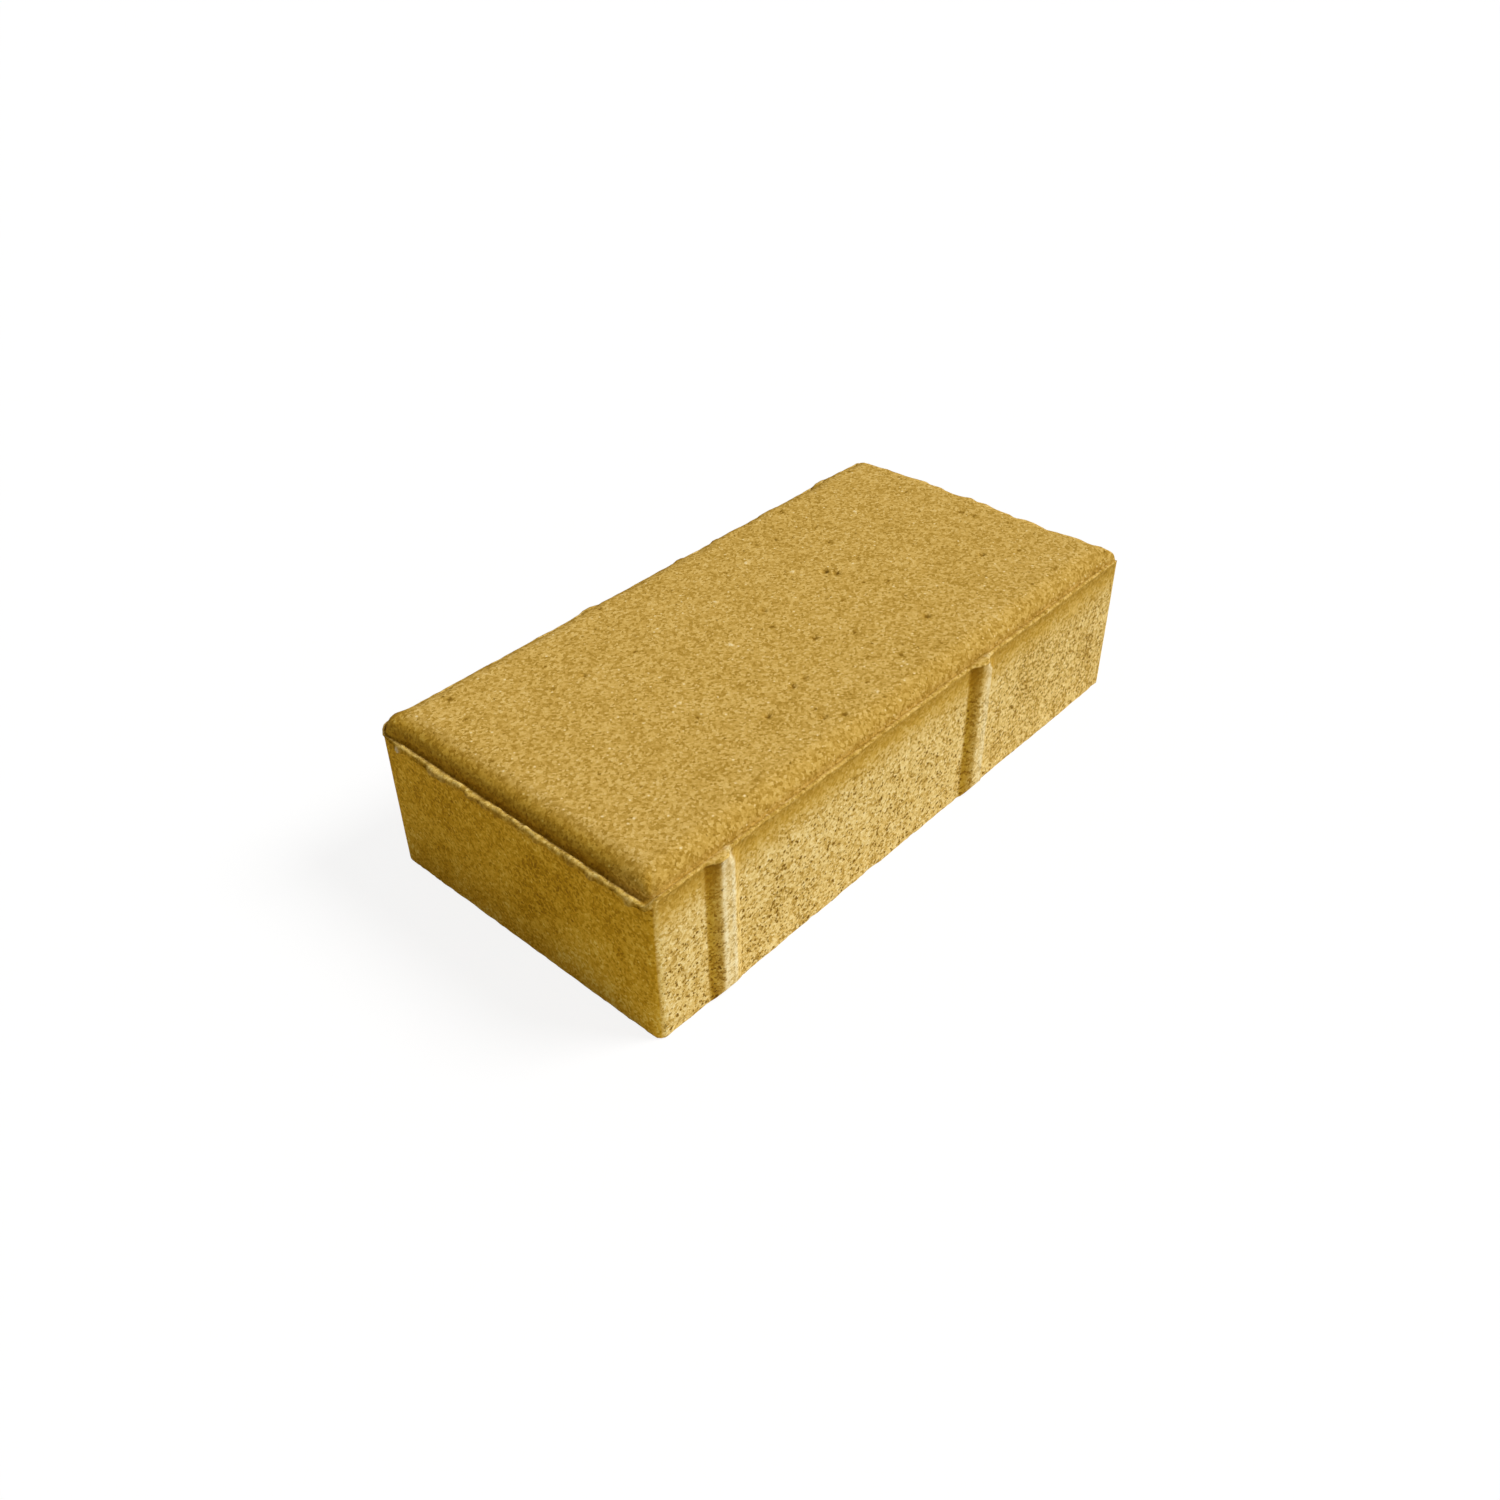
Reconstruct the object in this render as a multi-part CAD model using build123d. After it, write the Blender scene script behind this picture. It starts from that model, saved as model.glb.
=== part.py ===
from build123d import *
from math import cos, radians, sin
import os

# Rectangular concrete block paver, pressed in one piece.
# Millimetres, +Z up: the bedding face lies on z = 0 with the origin at its centre,
# X runs along the long sides and Y along the short ones.

# The block
stone_length = 200.0
stone_width = 100.0
stone_height = 50.0
corner_radius = 3.5  # upright corners of the block

# The crown: the top, which stands back on a narrow ledge and is rounded off all along its edge
crown_rise = 5.2  # from the ledge to the walking face, the height of the round
round_run = 6.4  # from the foot of the crown to the flat walking face, the width of the round
ledge_width = 1.4  # from the side of the block to the foot of the crown
crown_corner_radius = 2.4  # corners of the crown in plan, the same from its foot to the walking face
round_steps = 8  # sections that shape the round

# The lip: the bead that the press leaves on the ledge, along the edge of the block
lip_width = 0.9  # on top of the ledge
lip_rise = 0.45  # above the ledge
lip_drop = 0.8  # below the ledge, down the side
lip_overhang = 0.3  # out from the side
lip_round = 0.2  # outer edges of the bead

# The nibs: upright ribs on the long sides that keep the joint open between two stones
nib_root_width = 11.8
nib_crest_width = 4.2
nib_depth = 2.0
nib_round = 0.8  # crest edges and roots of a rib
nib_bevel_rise = 2.8  # foot of a rib, bevelled from its crest back to the bedding face
nib_from_end = 23.0  # centre of the first rib from the end of the stone
nib_pitch = 104.5  # centre of the first rib to centre of the second
nibs_per_side = 2
half_turn = 180  # degrees about Z that carry the near side's ribs to the far side
quarter_turn = 90  # degrees of the round, from upright at its foot to flat at its top

# Levels and places worked out from the sizes above
ledge_level = stone_height - crown_rise
near_side = -stone_width / 2
nib_places = [nib_from_end - stone_length / 2 + nib_pitch * count for count in range(nibs_per_side)]


def nib_plan(x):
    """Plan of one rib on the near side: a trapezium on a foot that reaches into the block."""
    root = nib_root_width / 2
    crest = nib_crest_width / 2
    outline = Polyline(
        (x - root, near_side + nib_depth),
        (x - root, near_side),
        (x - crest, near_side - nib_depth),
        (x + crest, near_side - nib_depth),
        (x + root, near_side),
        (x + root, near_side + nib_depth),
        close=True,
    )
    return make_face(outline)


def block_plan():
    """Plan of the block with the ribs of both long sides, their crests and roots rounded."""
    near_ribs = Sketch() + [nib_plan(x) for x in nib_places]
    far_ribs = Rot(Z=half_turn) * near_ribs
    plan = RectangleRounded(stone_length, stone_width, corner_radius) + near_ribs + far_ribs
    straight_reach = stone_length / 2 - corner_radius - nib_round
    rib_corners = [corner for corner in plan.vertices() if abs(corner.X) < straight_reach]
    return fillet(rib_corners, nib_round)


def nib_bevel(x):
    """Wedge that takes the foot of one rib off at a slant, twice as deep as the rib so that it cuts clear."""
    wedge = Polyline(
        (near_side, 0),
        (near_side - 2 * nib_depth, 2 * nib_bevel_rise),
        (near_side - 2 * nib_depth, 0),
        close=True,
    )
    return extrude(Plane.YZ.offset(x) * make_face(wedge), amount=nib_root_width, both=True)


def crown_section(turn):
    """Plan of the crown at one angle of its round: it steps in and up along a quarter of an ellipse."""
    inset = ledge_width + round_run * (1 - cos(radians(turn)))
    outline = RectangleRounded(stone_length - 2 * inset, stone_width - 2 * inset, crown_corner_radius)
    return Pos(Z=ledge_level + crown_rise * sin(radians(turn))) * outline


def crown():
    """The top of the stone, standing on the ledge: a loft through the sections of its round."""
    return loft([crown_section(quarter_turn * step / round_steps) for step in range(round_steps + 1)])


def lip(plan):
    """The pressed bead: a slab a little wider than the plan, open inside it down to the ledge."""
    slab_plan = offset(plan, lip_overhang, kind=Kind.ARC)
    slab = extrude(Pos(Z=ledge_level - lip_drop) * slab_plan, amount=lip_drop + lip_rise)
    edges_by_level = slab.edges().group_by(Axis.Z)
    slab = fillet(edges_by_level[0] + edges_by_level[-1], lip_round)
    opening = RectangleRounded(
        stone_length - 2 * lip_width,
        stone_width - 2 * lip_width,
        crown_corner_radius + ledge_width - lip_width,
    )
    return slab - extrude(Pos(Z=ledge_level) * opening, amount=lip_rise)


plan = block_plan()
near_bevels = Part() + [nib_bevel(x) for x in nib_places]
body = extrude(plan, amount=ledge_level) - near_bevels - Rot(Z=half_turn) * near_bevels
paving_stone = body + lip(plan) + crown()

os.makedirs("parts", exist_ok=True)
export_step(paving_stone, "parts/paving_stone.step")
print(f"paving_stone: {len(paving_stone.solids())} solid, {paving_stone.volume:.0f} mm3")
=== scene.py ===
import math

import bpy
import numpy as np
from mathutils import Matrix, Vector


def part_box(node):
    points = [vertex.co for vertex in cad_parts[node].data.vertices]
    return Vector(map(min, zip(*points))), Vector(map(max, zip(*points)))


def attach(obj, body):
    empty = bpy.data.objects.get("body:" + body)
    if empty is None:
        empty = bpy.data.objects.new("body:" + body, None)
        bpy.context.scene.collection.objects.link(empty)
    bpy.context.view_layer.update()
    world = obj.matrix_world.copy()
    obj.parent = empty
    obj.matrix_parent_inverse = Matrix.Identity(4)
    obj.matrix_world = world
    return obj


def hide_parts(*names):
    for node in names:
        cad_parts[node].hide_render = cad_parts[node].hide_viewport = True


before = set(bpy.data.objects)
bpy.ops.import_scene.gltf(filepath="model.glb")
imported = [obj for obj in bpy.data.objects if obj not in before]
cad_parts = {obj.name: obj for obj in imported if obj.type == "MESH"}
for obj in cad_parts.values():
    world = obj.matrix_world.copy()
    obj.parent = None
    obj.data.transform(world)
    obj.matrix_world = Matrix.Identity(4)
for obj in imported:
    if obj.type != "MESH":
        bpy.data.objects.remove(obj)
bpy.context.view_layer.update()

mm = 0.001  # sizes in the dictionaries below are millimetres

# The pressed stone. Its length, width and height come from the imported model, the rest is set here.
stone = dict(
    node="paving_stone", slot="concrete", body="root", seed=41,
    cornerRadius=2.4,  # upright corners
    crownRise=5.2, roundRun=6.4, ledge=1.4, crownCorner=2.4,  # rounded top edge, and the ledge it stands on
    # corners where the crown reaches the edge: x, y, reach and share of the ledge that is lost
    pinches=[(-100.0, 50.0, 7.0, 0.65), (100.0, -50.0, 8.0, 0.85)],
    lipWidth=0.9, lipRise=0.45, lipDrop=0.8, lipOut=0.3, lipSag=0.75,  # bead left by the press
    lipLift=0.8, lipFall=0.9,  # its level above the ledge on the long sides, and below it on the ends
    lipSection=[(0.1, 0.8), (0.35, 1.0), (0.65, 0.95), (0.88, 0.6), (1.0, 0.1)],  # across and up, as shares
    lipCells=(1.9, 3.1, 9.0), raggedLimits=(0.55, 0.85),  # sizes of its noise, and where that is ragged
    # its mix: an even part, quick, middle and slow noise, the ends, quick noise on them, ragged stretches
    lipMix=dict(
        lipRise=(0.6, 0.5, 0.0, 0.3, -0.4, 0.9, 0.4),
        lipOut=(0.1, 0.0, 0.6, 0.4, 2.9, 0.0, 1.2),
        lipDrop=(0.3, 0.4, 0.4, 0.0, 0.4, 0.0, 0.5),
    ),
    farEnd=0.5,  # share of the near end's raggedness that the far end has
    nibDepth=2.0, nibRoot=11.8, nibCrest=4.0, nibBevel=2.8, nibSoftness=0.4,  # spacer ribs
    nibFromEnd=23.0, nibPitch=104.5,  # their places on each long side
    spacing=1.0, ribSpacingShare=0.5, cornerSteps=18, roundSteps=12, footShare=0.08, footRows=6,  # mesh
    underInsets=(5.0, 3.6), underShares=(0.35, 0.75, 1.0), capEasing=14.0,  # mesh of the underside and top
)

# Casting marks and wear: heights and depths, and the sizes of the noise that spreads them.
wear = dict(
    topGrain=0.06, sideGrain=0.09, endGrain=0.06, grainCells=(4.6, 9.0),
    waviness=0.14, wavinessCell=32.0,
    poreDepth=0.30, poreCell=4.0, poreLimits=(0.74, 0.92), bandDepth=9.0,  # pores, under a smooth band
    edgeInset=0.4, edgeWear=0.55, edgeCells=(2.6, 9.0, 1.3),  # crumbled bottom edge
    edgeSection=[(1.25, 0.0), (0.5, 0.22), (0.12, 0.7)],  # its way in and up, as shares of the inset
    ripple=0.12, farRipple=1.6, rippleCells=(7.5, 3.0),  # unevenness of the round, more on the far sides
    lumpCell=2.0, sideLumps=0.12, endLumps=0.8,  # lumps of the bead
    ribRub=0.5, ribRubReach=7.0,  # tops of the far ribs, rubbed down
    ribTaper=0.8, ribTaperReach=2.5, ribTaperRun=(-0.3, 2.6),  # second half of a rib, falling away on top
    pitCount=36, pitRadius=(0.9, 1.4), pitDepth=(0.1, 0.3), pitBorder=4.0,  # small blow holes in the top
    drawShare=0.6, drawReach=2.6,  # closer points round the larger ones
)

# Larger blow holes of the top: x, y, radius and depth. A depth below 0 is a pale grain that stands out.
blowHoles = [
    (29.8, 8.0, 1.4, 0.9), (31.3, 5.0, 1.2, 0.8), (2.1, 7.3, 1.0, 0.6), (-53.4, 22.0, 1.1, 0.6),
    (-35.0, -26.8, 1.1, 0.7), (-26.0, -37.8, 1.1, 0.7), (-20.8, -23.0, 1.2, 0.7), (29.6, -29.2, 1.2, 0.7),
    (-15.8, -23.0, 0.9, 0.5), (-21.6, -41.0, 0.9, 0.5), (0.6, -12.6, 1.3, 0.5), (68.0, -21.3, 1.1, 0.6),
    (-3.8, 20.5, 1.1, -0.20), (18.3, 29.0, 0.8, -0.15), (23.5, 15.0, 0.8, -0.15), (-45.5, -6.0, 0.8, -0.15),
    (-17.0, 2.5, 0.8, -0.15), (-8.0, -41.0, 0.9, -0.15), (52.0, -6.0, 0.8, -0.15), (64.0, 24.0, 0.9, -0.15),
]

# Marks of the near long side: x, height, half width, half height, depth, and how pale, or how dark below 0.
wallMarks = [
    (75.6, 39.0, 2.4, 1.6, 0.05, 0.6), (-14.5, 13.0, 0.9, 1.1, 0.20, 0.8),
    (20.5, 11.0, 0.9, 1.5, 0.50, -0.8), (-94.0, 1.3, 2.0, 1.3, 0.60, -0.2),
    (-59.2, 15.8, 1.6, 1.2, 0.30, -0.6), (-38.0, 21.4, 0.9, 0.9, 0.30, -0.7),
    (50.0, 26.0, 0.8, 9.0, 0.08, -0.3), (88.0, 20.0, 1.2, 7.0, 0.08, -0.25),
    (5.0, 22.0, 1.0, 0.9, 0.20, -0.5),
]

# Burrs of the lip: x, y, half width, drop, how far out, and how pale.
lipBurrs = [
    (-100.0, 25.5, 3.4, 0.9, 0.90, 0.5), (-100.0, 41.5, 1.3, 0.7, 0.70, 1.0),
    (-100.0, -31.0, 1.3, 0.8, 0.60, 0.4), (-100.0, -43.5, 1.6, 0.5, 0.45, 0.3),
    (-28.0, -50.0, 1.4, 0.4, 0.20, 0.2), (100.0, 12.0, 2.4, 0.9, 0.70, 0.5),
    (100.0, -33.0, 1.3, 0.7, 0.50, 0.3), (64.0, 50.0, 2.0, 0.5, 0.30, 0.3),
    (-60.0, 50.0, 1.3, 0.5, 0.30, 0.2),
]

# Numbers that every ring of the mesh carries for its shape and its finish.
ringMarkNames = ("wall", "lip", "under", "chip", "worn", "top", "round")


# Lattice noise, 0 to 1: every corner of a cubic lattice holds a random value, and a point takes the eight
# values round it, each weighted by the smooth step of its place in the cell.
def latticeNoise(points, cell, seed):
    valueCount = 8192
    primes = np.array([73856093, 19349663, 83492791])  # they scatter the corners over the values
    values = np.random.default_rng(seed).random(valueCount)
    place = points / cell
    base = np.floor(place).astype(np.int64)
    part = place - base
    part = part * part * (3 - 2 * part)
    total = np.zeros(len(points))
    for corner in np.ndindex(2, 2, 2):
        key = (base + corner) @ primes
        weight = np.where(corner, part, 1 - part).prod(axis=1)
        total += weight * values[key % valueCount]
    return total


# Smooth step: 0 below low, 1 above high and the cubic 3t^2 - 2t^3 between them.
def smoothStep(low, high, value):
    t = np.clip((value - low) / (high - low), 0, 1)
    return t * t * (3 - 2 * t)


# Section of a spacer rib: full depth on its crest, falling in a line to nothing at its root, with both
# bends softened by mixing the line with its smooth step.
def ribProfile(away):
    crest, root, soft = stone["nibCrest"] / 2, stone["nibRoot"] / 2, stone["nibSoftness"]
    line = np.clip((root - np.abs(away)) / (root - crest), 0, 1)
    return stone["nibDepth"] * ((1 - soft) * line + soft * smoothStep(0, 1, line))


# Steps along a straight side, 0 to its length: one a spacing, and closer together near each rib.
def sideSteps(length, ribs):
    fine = np.linspace(0, length, 4000)
    density = np.ones_like(fine)
    for rib in ribs:
        near = 1 - smoothStep(stone["nibRoot"] / 2, stone["nibRoot"], np.abs(fine - rib))
        density += (1 / stone["ribSpacingShare"] - 1) * near
    passed = np.cumsum((density[1:] + density[:-1]) / 2 * np.diff(fine)) / stone["spacing"]
    passed = np.concatenate([[0], passed])
    return np.interp(np.linspace(0, passed[-1], int(round(passed[-1])) + 1), passed, fine)


# Plan of the block's rounded corner by its length, q from 0 to 1: straight up the first side to the arc, a
# quarter circle, and straight along the second side. Gives the points and the outward directions there.
def cornerPlan(q, zone, radius):
    run, arc = zone - radius, radius * math.pi / 2
    way = q * (2 * run + arc)
    turn = np.clip((way - run) / radius, 0, math.pi / 2)
    out = np.stack([np.cos(turn), np.sin(turn)], axis=1)
    before = np.minimum(way, run) - run
    after = np.maximum(way - run - arc, 0)
    return np.reshape(run, (-1, 1)) + radius * out + np.stack([-after, before], axis=1), out


# Stations round the plan, anticlockwise from the middle of the corner at -X -Y. The columns of a station
# are its point on an inner rectangle, two axes and a share q of the corner between them (0 on the straight
# sides, whose first axis points outwards), how far a rib stands out, and the signed way from the nearest
# rib's crest.
def planStations(half, zone):
    inner = half - zone
    q = np.linspace(0, 1, stone["cornerSteps"] + 1)
    middle = stone["cornerSteps"] // 2
    ribs = stone["nibFromEnd"] - zone + stone["nibPitch"] * np.arange(2)
    far = 4 * stone["nibRoot"]  # stands for no rib near

    # a share of one corner
    def cornerPart(centre, first, second, q):
        fixed = np.tile(np.concatenate([centre, first, second]), (len(q), 1))
        return np.column_stack([fixed, q, 0 * q, 0 * q + far])

    # one straight side, with the way from the nearest of its ribs
    def straightPart(start, along, out, steps, ribs):
        point = start + np.outer(steps, along)
        axes = np.tile(np.concatenate([out, along]), (len(steps), 1))
        away = np.full(len(steps), far)
        for place in ribs:
            away = np.where(np.abs(steps - place) < np.abs(away), steps - place, away)
        return np.column_stack([point, axes, 0 * steps, ribProfile(away), away])

    parts, counts = [], []
    for side in range(4):
        turn = side * math.pi / 2
        out = np.array([math.sin(turn), -math.cos(turn)]).round()
        along = np.array([-out[1], out[0]])
        sideRibs = ribs if side % 2 == 0 else []
        steps = sideSteps(2 * abs(inner @ along), sideRibs)
        parts.append(cornerPart(inner * (out - along), -along, out, q[middle:-1]))
        parts.append(straightPart(inner * (out - along), along, out, steps[:-1], sideRibs))
        parts.append(cornerPart(inner * (out + along), out, along, q[:middle]))
        counts.append(stone["cornerSteps"] + len(steps) - 1)
    return np.concatenate(parts), counts


# Plan of all stations at an inset from the block's sides, with corners of a radius: the inner rectangle's
# points plus the corner plan of that size laid along their axes. Gives the points and the outward
# directions there.
def planAt(stations, zone, inset, radius):
    base, first, second, q = np.split(stations[:, :7], [2, 4, 6], axis=1)
    point, out = cornerPlan(q[:, 0], zone - inset, radius)
    return base + point[:, :1] * first + point[:, 1:] * second, out[:, :1] * first + out[:, 1:] * second


# Share of the ledge that is lost where the crown reaches the edge: the sum of a bell curve of the way from
# each such corner.
def pinchShare(edge):
    lost = 0
    for x, y, reach, share in stone["pinches"]:
        lost = lost + share * np.exp(-((edge - (x, y)) ** 2).sum(axis=1) / reach**2)
    return lost


# The lip at each station: its rise, overhang and drop are weighted sums of noise, even on the long sides
# and ragged on the ends, and each burr adds to them by a bell curve of the way from its middle. The outer
# edge sags on the ends and at the burrs, and on the ends the bead reaches less far in.
def lipShape(edge, edgeOut):
    s = stone
    flat = np.column_stack([edge, 0 * edge[:, 0]])
    quickCell, middleCell, slowCell = s["lipCells"]
    quick, slow = latticeNoise(flat, quickCell, s["seed"]), latticeNoise(flat, slowCell, s["seed"] + 1)
    middle = latticeNoise(flat, middleCell, s["seed"] + 2)
    ends = edgeOut[:, 0] ** 2 * np.where(edgeOut[:, 0] < 0, 1, s["farEnd"])
    ragged = ends * smoothStep(*s["raggedLimits"], middle)
    fields = np.stack([1 + 0 * quick, quick, middle, slow, ends, ends * quick, ragged])
    rise, out, drop = (s[size] * (np.array(mix) @ fields) for size, mix in s["lipMix"].items())
    sag = ends * s["lipSag"] * (0.2 + 1.5 * quick) + 0.2 * ragged
    pale = 0.2 * ragged
    inner = s["lipWidth"] * (1 - 0.4 * ends)
    kept = 1 - pinchShare(edge)
    rise, out, sag, inner = (value * kept for value in (rise, out, sag, inner))
    for x, y, width, more, further, white in lipBurrs:
        bell = np.exp(-(((edge - (x, y)) ** 2).sum(axis=1) / width**2) ** 2)
        bell *= 0.65 + 0.6 * quick
        drop += more * bell
        out += further * bell
        sag += 0.8 * further * bell
        pale += white * bell
    return rise, out, drop, sag, inner, np.clip(pale, 0, 1)


# Rings of the stone from the middle of its underside out, up the walls, over the lip and the round to the
# flat top. A wall ring is the outline moved along its outward direction, by the rib as far as its bevelled
# foot and its rubbed or tapered top let it, a crown ring is the plan at an inset, and a ring between the
# two is a straight mix of them. Each ring also gets its share of wall, lip, underside, chip, worn, top and
# round.
def stoneRings(stations, zone, height):
    s = stone
    rib, away = stations[:, 7], stations[:, 8]
    edge, edgeOut = planAt(stations, zone, 0, s["cornerRadius"])
    rise, out, drop, sag, inner, pale = lipShape(edge, edgeOut)
    ends = edgeOut[:, 0] ** 2
    ledgeLevel = height - s["crownRise"]
    lipLevel = ledgeLevel + s["lipLift"] * (1 - ends) - s["lipFall"] * ends
    rings, marks = [], []
    nothing = 0 * rib

    # a plan at a level, and the shares that aren't 0
    def addRing(plan, level, **shares):
        rings.append(np.column_stack([plan, level + nothing]))
        marks.append(np.stack([shares.get(name, 0) + nothing for name in ringMarkNames]))

    # the outline and what is left of its ribs at a level, moved outwards
    def wallPlan(outward, level):
        bevelled = np.minimum(rib, level * s["nibDepth"] / s["nibBevel"])
        rubbed = wear["ribRub"] * np.clip(edgeOut[:, 1], 0, 1)
        rubbed = rubbed * smoothStep(-wear["ribRubReach"], 0, level - ledgeLevel)
        tapered = wear["ribTaper"] * smoothStep(*wear["ribTaperRun"], away)
        tapered = tapered * smoothStep(-wear["ribTaperReach"], 0, level - ledgeLevel)
        return edge + (bevelled * (1 - rubbed) * (1 - tapered) + outward)[:, None] * edgeOut

    # the crown's plan at an inset
    def crownPlan(inset):
        return planAt(stations, zone, inset, s["crownCorner"])[0]

    # underside, from the flat middle to the crumbled bottom edge
    flat = np.column_stack([edge, nothing])
    seeds = range(s["seed"] + 3, s["seed"] + 6)
    crumb, patch, nick = (latticeNoise(flat, *pair) for pair in zip(wear["edgeCells"], seeds))
    inset = wear["edgeInset"] * (0.6 + nick) + wear["edgeWear"] * (crumb * patch)
    (footIn, _), (lowIn, lowUp), (highIn, highUp) = wear["edgeSection"]
    addRing(crownPlan(s["ledge"] + s["roundRun"]), 0, under=1)
    addRing(crownPlan(s["underInsets"][0]), 0, under=1)
    for share in s["underShares"]:
        mixed = (1 - share) * crownPlan(s["underInsets"][1]) + share * wallPlan(-footIn * inset, nothing)
        addRing(mixed, 0, under=1)
    addRing(wallPlan(-lowIn * inset, lowUp * inset), lowUp * inset, under=0.5, wall=0.5, worn=0.8)
    addRing(wallPlan(-highIn * inset, highUp * inset), highUp * inset, wall=1, worn=0.6)
    # walls, up to the underside of the lip, with closer rows at their foot
    wallFoot, wallTop = 1.5 * inset, lipLevel - 1.3 * drop - 0.8 * sag
    footRows = np.linspace(0, s["footShare"], s["footRows"])[:-1]
    wallRows = np.linspace(s["footShare"], 1, int(ledgeLevel / s["spacing"]) - 4)
    for share in np.concatenate([footRows, wallRows]):
        level = wallFoot + share * (wallTop - wallFoot)
        addRing(wallPlan(nothing, level), level, wall=1)
    # lip: out under the bead, over its crest and down to the ledge; on the ends its outer face is wall
    bare = 0.2 + 0.8 * ends
    rim = wallPlan(out, ledgeLevel)
    rimLow, rimHigh = (0.5 - 0.35 * ends) * drop, (0.3 - 0.2 * ends) * rise
    addRing(wallPlan(0.3 * out, ledgeLevel), lipLevel - drop - 0.6 * sag, wall=1)
    addRing(rim, lipLevel - rimLow - sag, wall=0.8 + 0.2 * ends, lip=0.2, chip=0.4 * pale)
    addRing(rim, lipLevel + rimHigh - sag, wall=ends, lip=1, chip=pale, worn=bare * (1 - ends))
    for across, up in s["lipSection"]:
        mixed = (1 - across) * rim + across * crownPlan(inner)
        level = lipLevel + up * rise - sag * (1 - across) ** (2 + 4 * ends)
        crest = 1 - smoothStep(0.6, 1, across)
        face = ends * (across < 0.2)
        worn = bare * crest * (1 - 0.8 * face)
        addRing(mixed, level, wall=face, lip=0.4 + 0.6 * crest, chip=pale * (1 - across), worn=worn)
    ledge = s["ledge"] * (1 - pinchShare(edge))
    valley = lipLevel - 0.05
    addRing(crownPlan((inner + ledge) / 2), valley, top=1, round=1)
    # round: a quarter of an ellipse from upright at the ledge to the flat top
    for turn in np.linspace(0, math.pi / 2, s["roundSteps"] + 1):
        inset = ledge + (s["roundRun"] + s["ledge"] - ledge) * (1 - math.cos(turn))
        level = np.maximum(ledgeLevel + s["crownRise"] * math.sin(turn), valley)
        addRing(crownPlan(inset), level, top=1, round=math.cos(turn))
    return np.array(rings), np.array(marks), edgeOut


# Grid that fills a ring: the mean of lines across and lines along, less the corners' part, so that it meets
# all four sides. Inside, its lines slide to even spacing with the distance from the ring.
def capGrid(ring, counts):
    across, along = counts[0], counts[1]
    front, right = ring[: across + 1], ring[across : across + along + 1]
    back = ring[across + along : 2 * across + along + 1][::-1]
    left = np.concatenate([ring[2 * across + along :], ring[:1]])[::-1]
    u = ((front[:, 0] - front[0, 0]) / (front[-1, 0] - front[0, 0]))[None, :, None]
    v = ((left[:, 1] - left[0, 1]) / (left[-1, 1] - left[0, 1]))[:, None, None]
    grid = (1 - v) * front[None] + v * back[None] + (1 - u) * left[:, None] + u * right[:, None]
    grid = grid - (1 - v) * ((1 - u) * front[0] + u * front[-1]) - v * ((1 - u) * back[0] + u * back[-1])
    low, high = ring.min(axis=0), ring.max(axis=0)
    even = [low[a] + (high[a] - low[a]) * np.linspace(0, 1, n + 1) for a, n in ((0, across), (1, along))]
    x, y = grid[..., 0].copy(), grid[..., 1].copy()
    easeX = smoothStep(0, stone["capEasing"], np.minimum(y - low[1], high[1] - y))
    easeY = smoothStep(0, stone["capEasing"], np.minimum(x - low[0], high[0] - x))
    grid[..., 0] = x + easeX * (even[0][None, :] - x)
    grid[..., 1] = y + easeY * (even[1][:, None] - y)
    return grid


# Vertex numbers of a cap: its border takes the ring's vertices, its inside takes new ones in rows.
def capIndex(ringStart, insideStart, counts):
    across, along = counts[0], counts[1]
    around = 2 * (across + along)
    ring = ringStart + np.arange(around + 1) % around
    index = np.empty((along + 1, across + 1), np.int64)
    inside = np.arange((along - 1) * (across - 1)).reshape(along - 1, across - 1)
    index[1:-1, 1:-1] = insideStart + inside
    index[0] = ring[: across + 1]
    index[:, -1] = ring[across : across + along + 1]
    index[-1] = ring[across + along : 2 * across + along + 1][::-1]
    index[:, 0] = ring[2 * across + along :][::-1]
    return index


# Quads of a grid of vertex numbers, each turned anticlockwise as its rows and columns run.
def gridQuads(index):
    corners = [index[:-1, :-1], index[:-1, 1:], index[1:, 1:], index[1:, :-1]]
    return np.stack(corners, axis=-1).reshape(-1, 4)


# Mesh of points and quads, every face with four corners in a row of the corner list.
def makeMesh(name, points, quads):
    mesh = bpy.data.meshes.new(name)
    mesh.vertices.add(len(points))
    mesh.loops.add(quads.size)
    mesh.polygons.add(len(quads))
    mesh.vertices.foreach_set("co", np.ascontiguousarray(points, np.float32).ravel())
    mesh.loops.foreach_set("vertex_index", quads.astype(np.int32).ravel())
    mesh.polygons.foreach_set("loop_start", np.arange(0, quads.size, 4, dtype=np.int32))
    mesh.update(calc_edges=True)
    mesh.validate()
    return mesh


# Outward directions: the sum of the crossed diagonals of the quads round each vertex, made unit length.
def vertexNormals(points, quads):
    a, b, c, d = (points[quads[:, k]] for k in range(4))
    face = np.cross(c - a, d - b)
    total = np.zeros_like(points)
    for k in range(4):
        np.add.at(total, quads[:, k], face)
    return total / np.linalg.norm(total, axis=1, keepdims=True)


# Blow holes: each sinks the points within its radius by its depth times (1 - r^2)^2. Gives the sinking and
# the darkness 1 - r^2 for the finish, below 0 for a pale grain.
def pitField(points, holes):
    sunk, dark = np.zeros((2, len(points)))
    for x, y, radius, depth in holes:
        bowl = np.clip(1 - ((points[:, :2] - (x, y)) ** 2).sum(axis=1) / radius**2, 0, 1)
        sunk += depth * bowl**2
        dark += np.sign(depth) * bowl
    return sunk, np.clip(dark, -1, 1)


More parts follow.
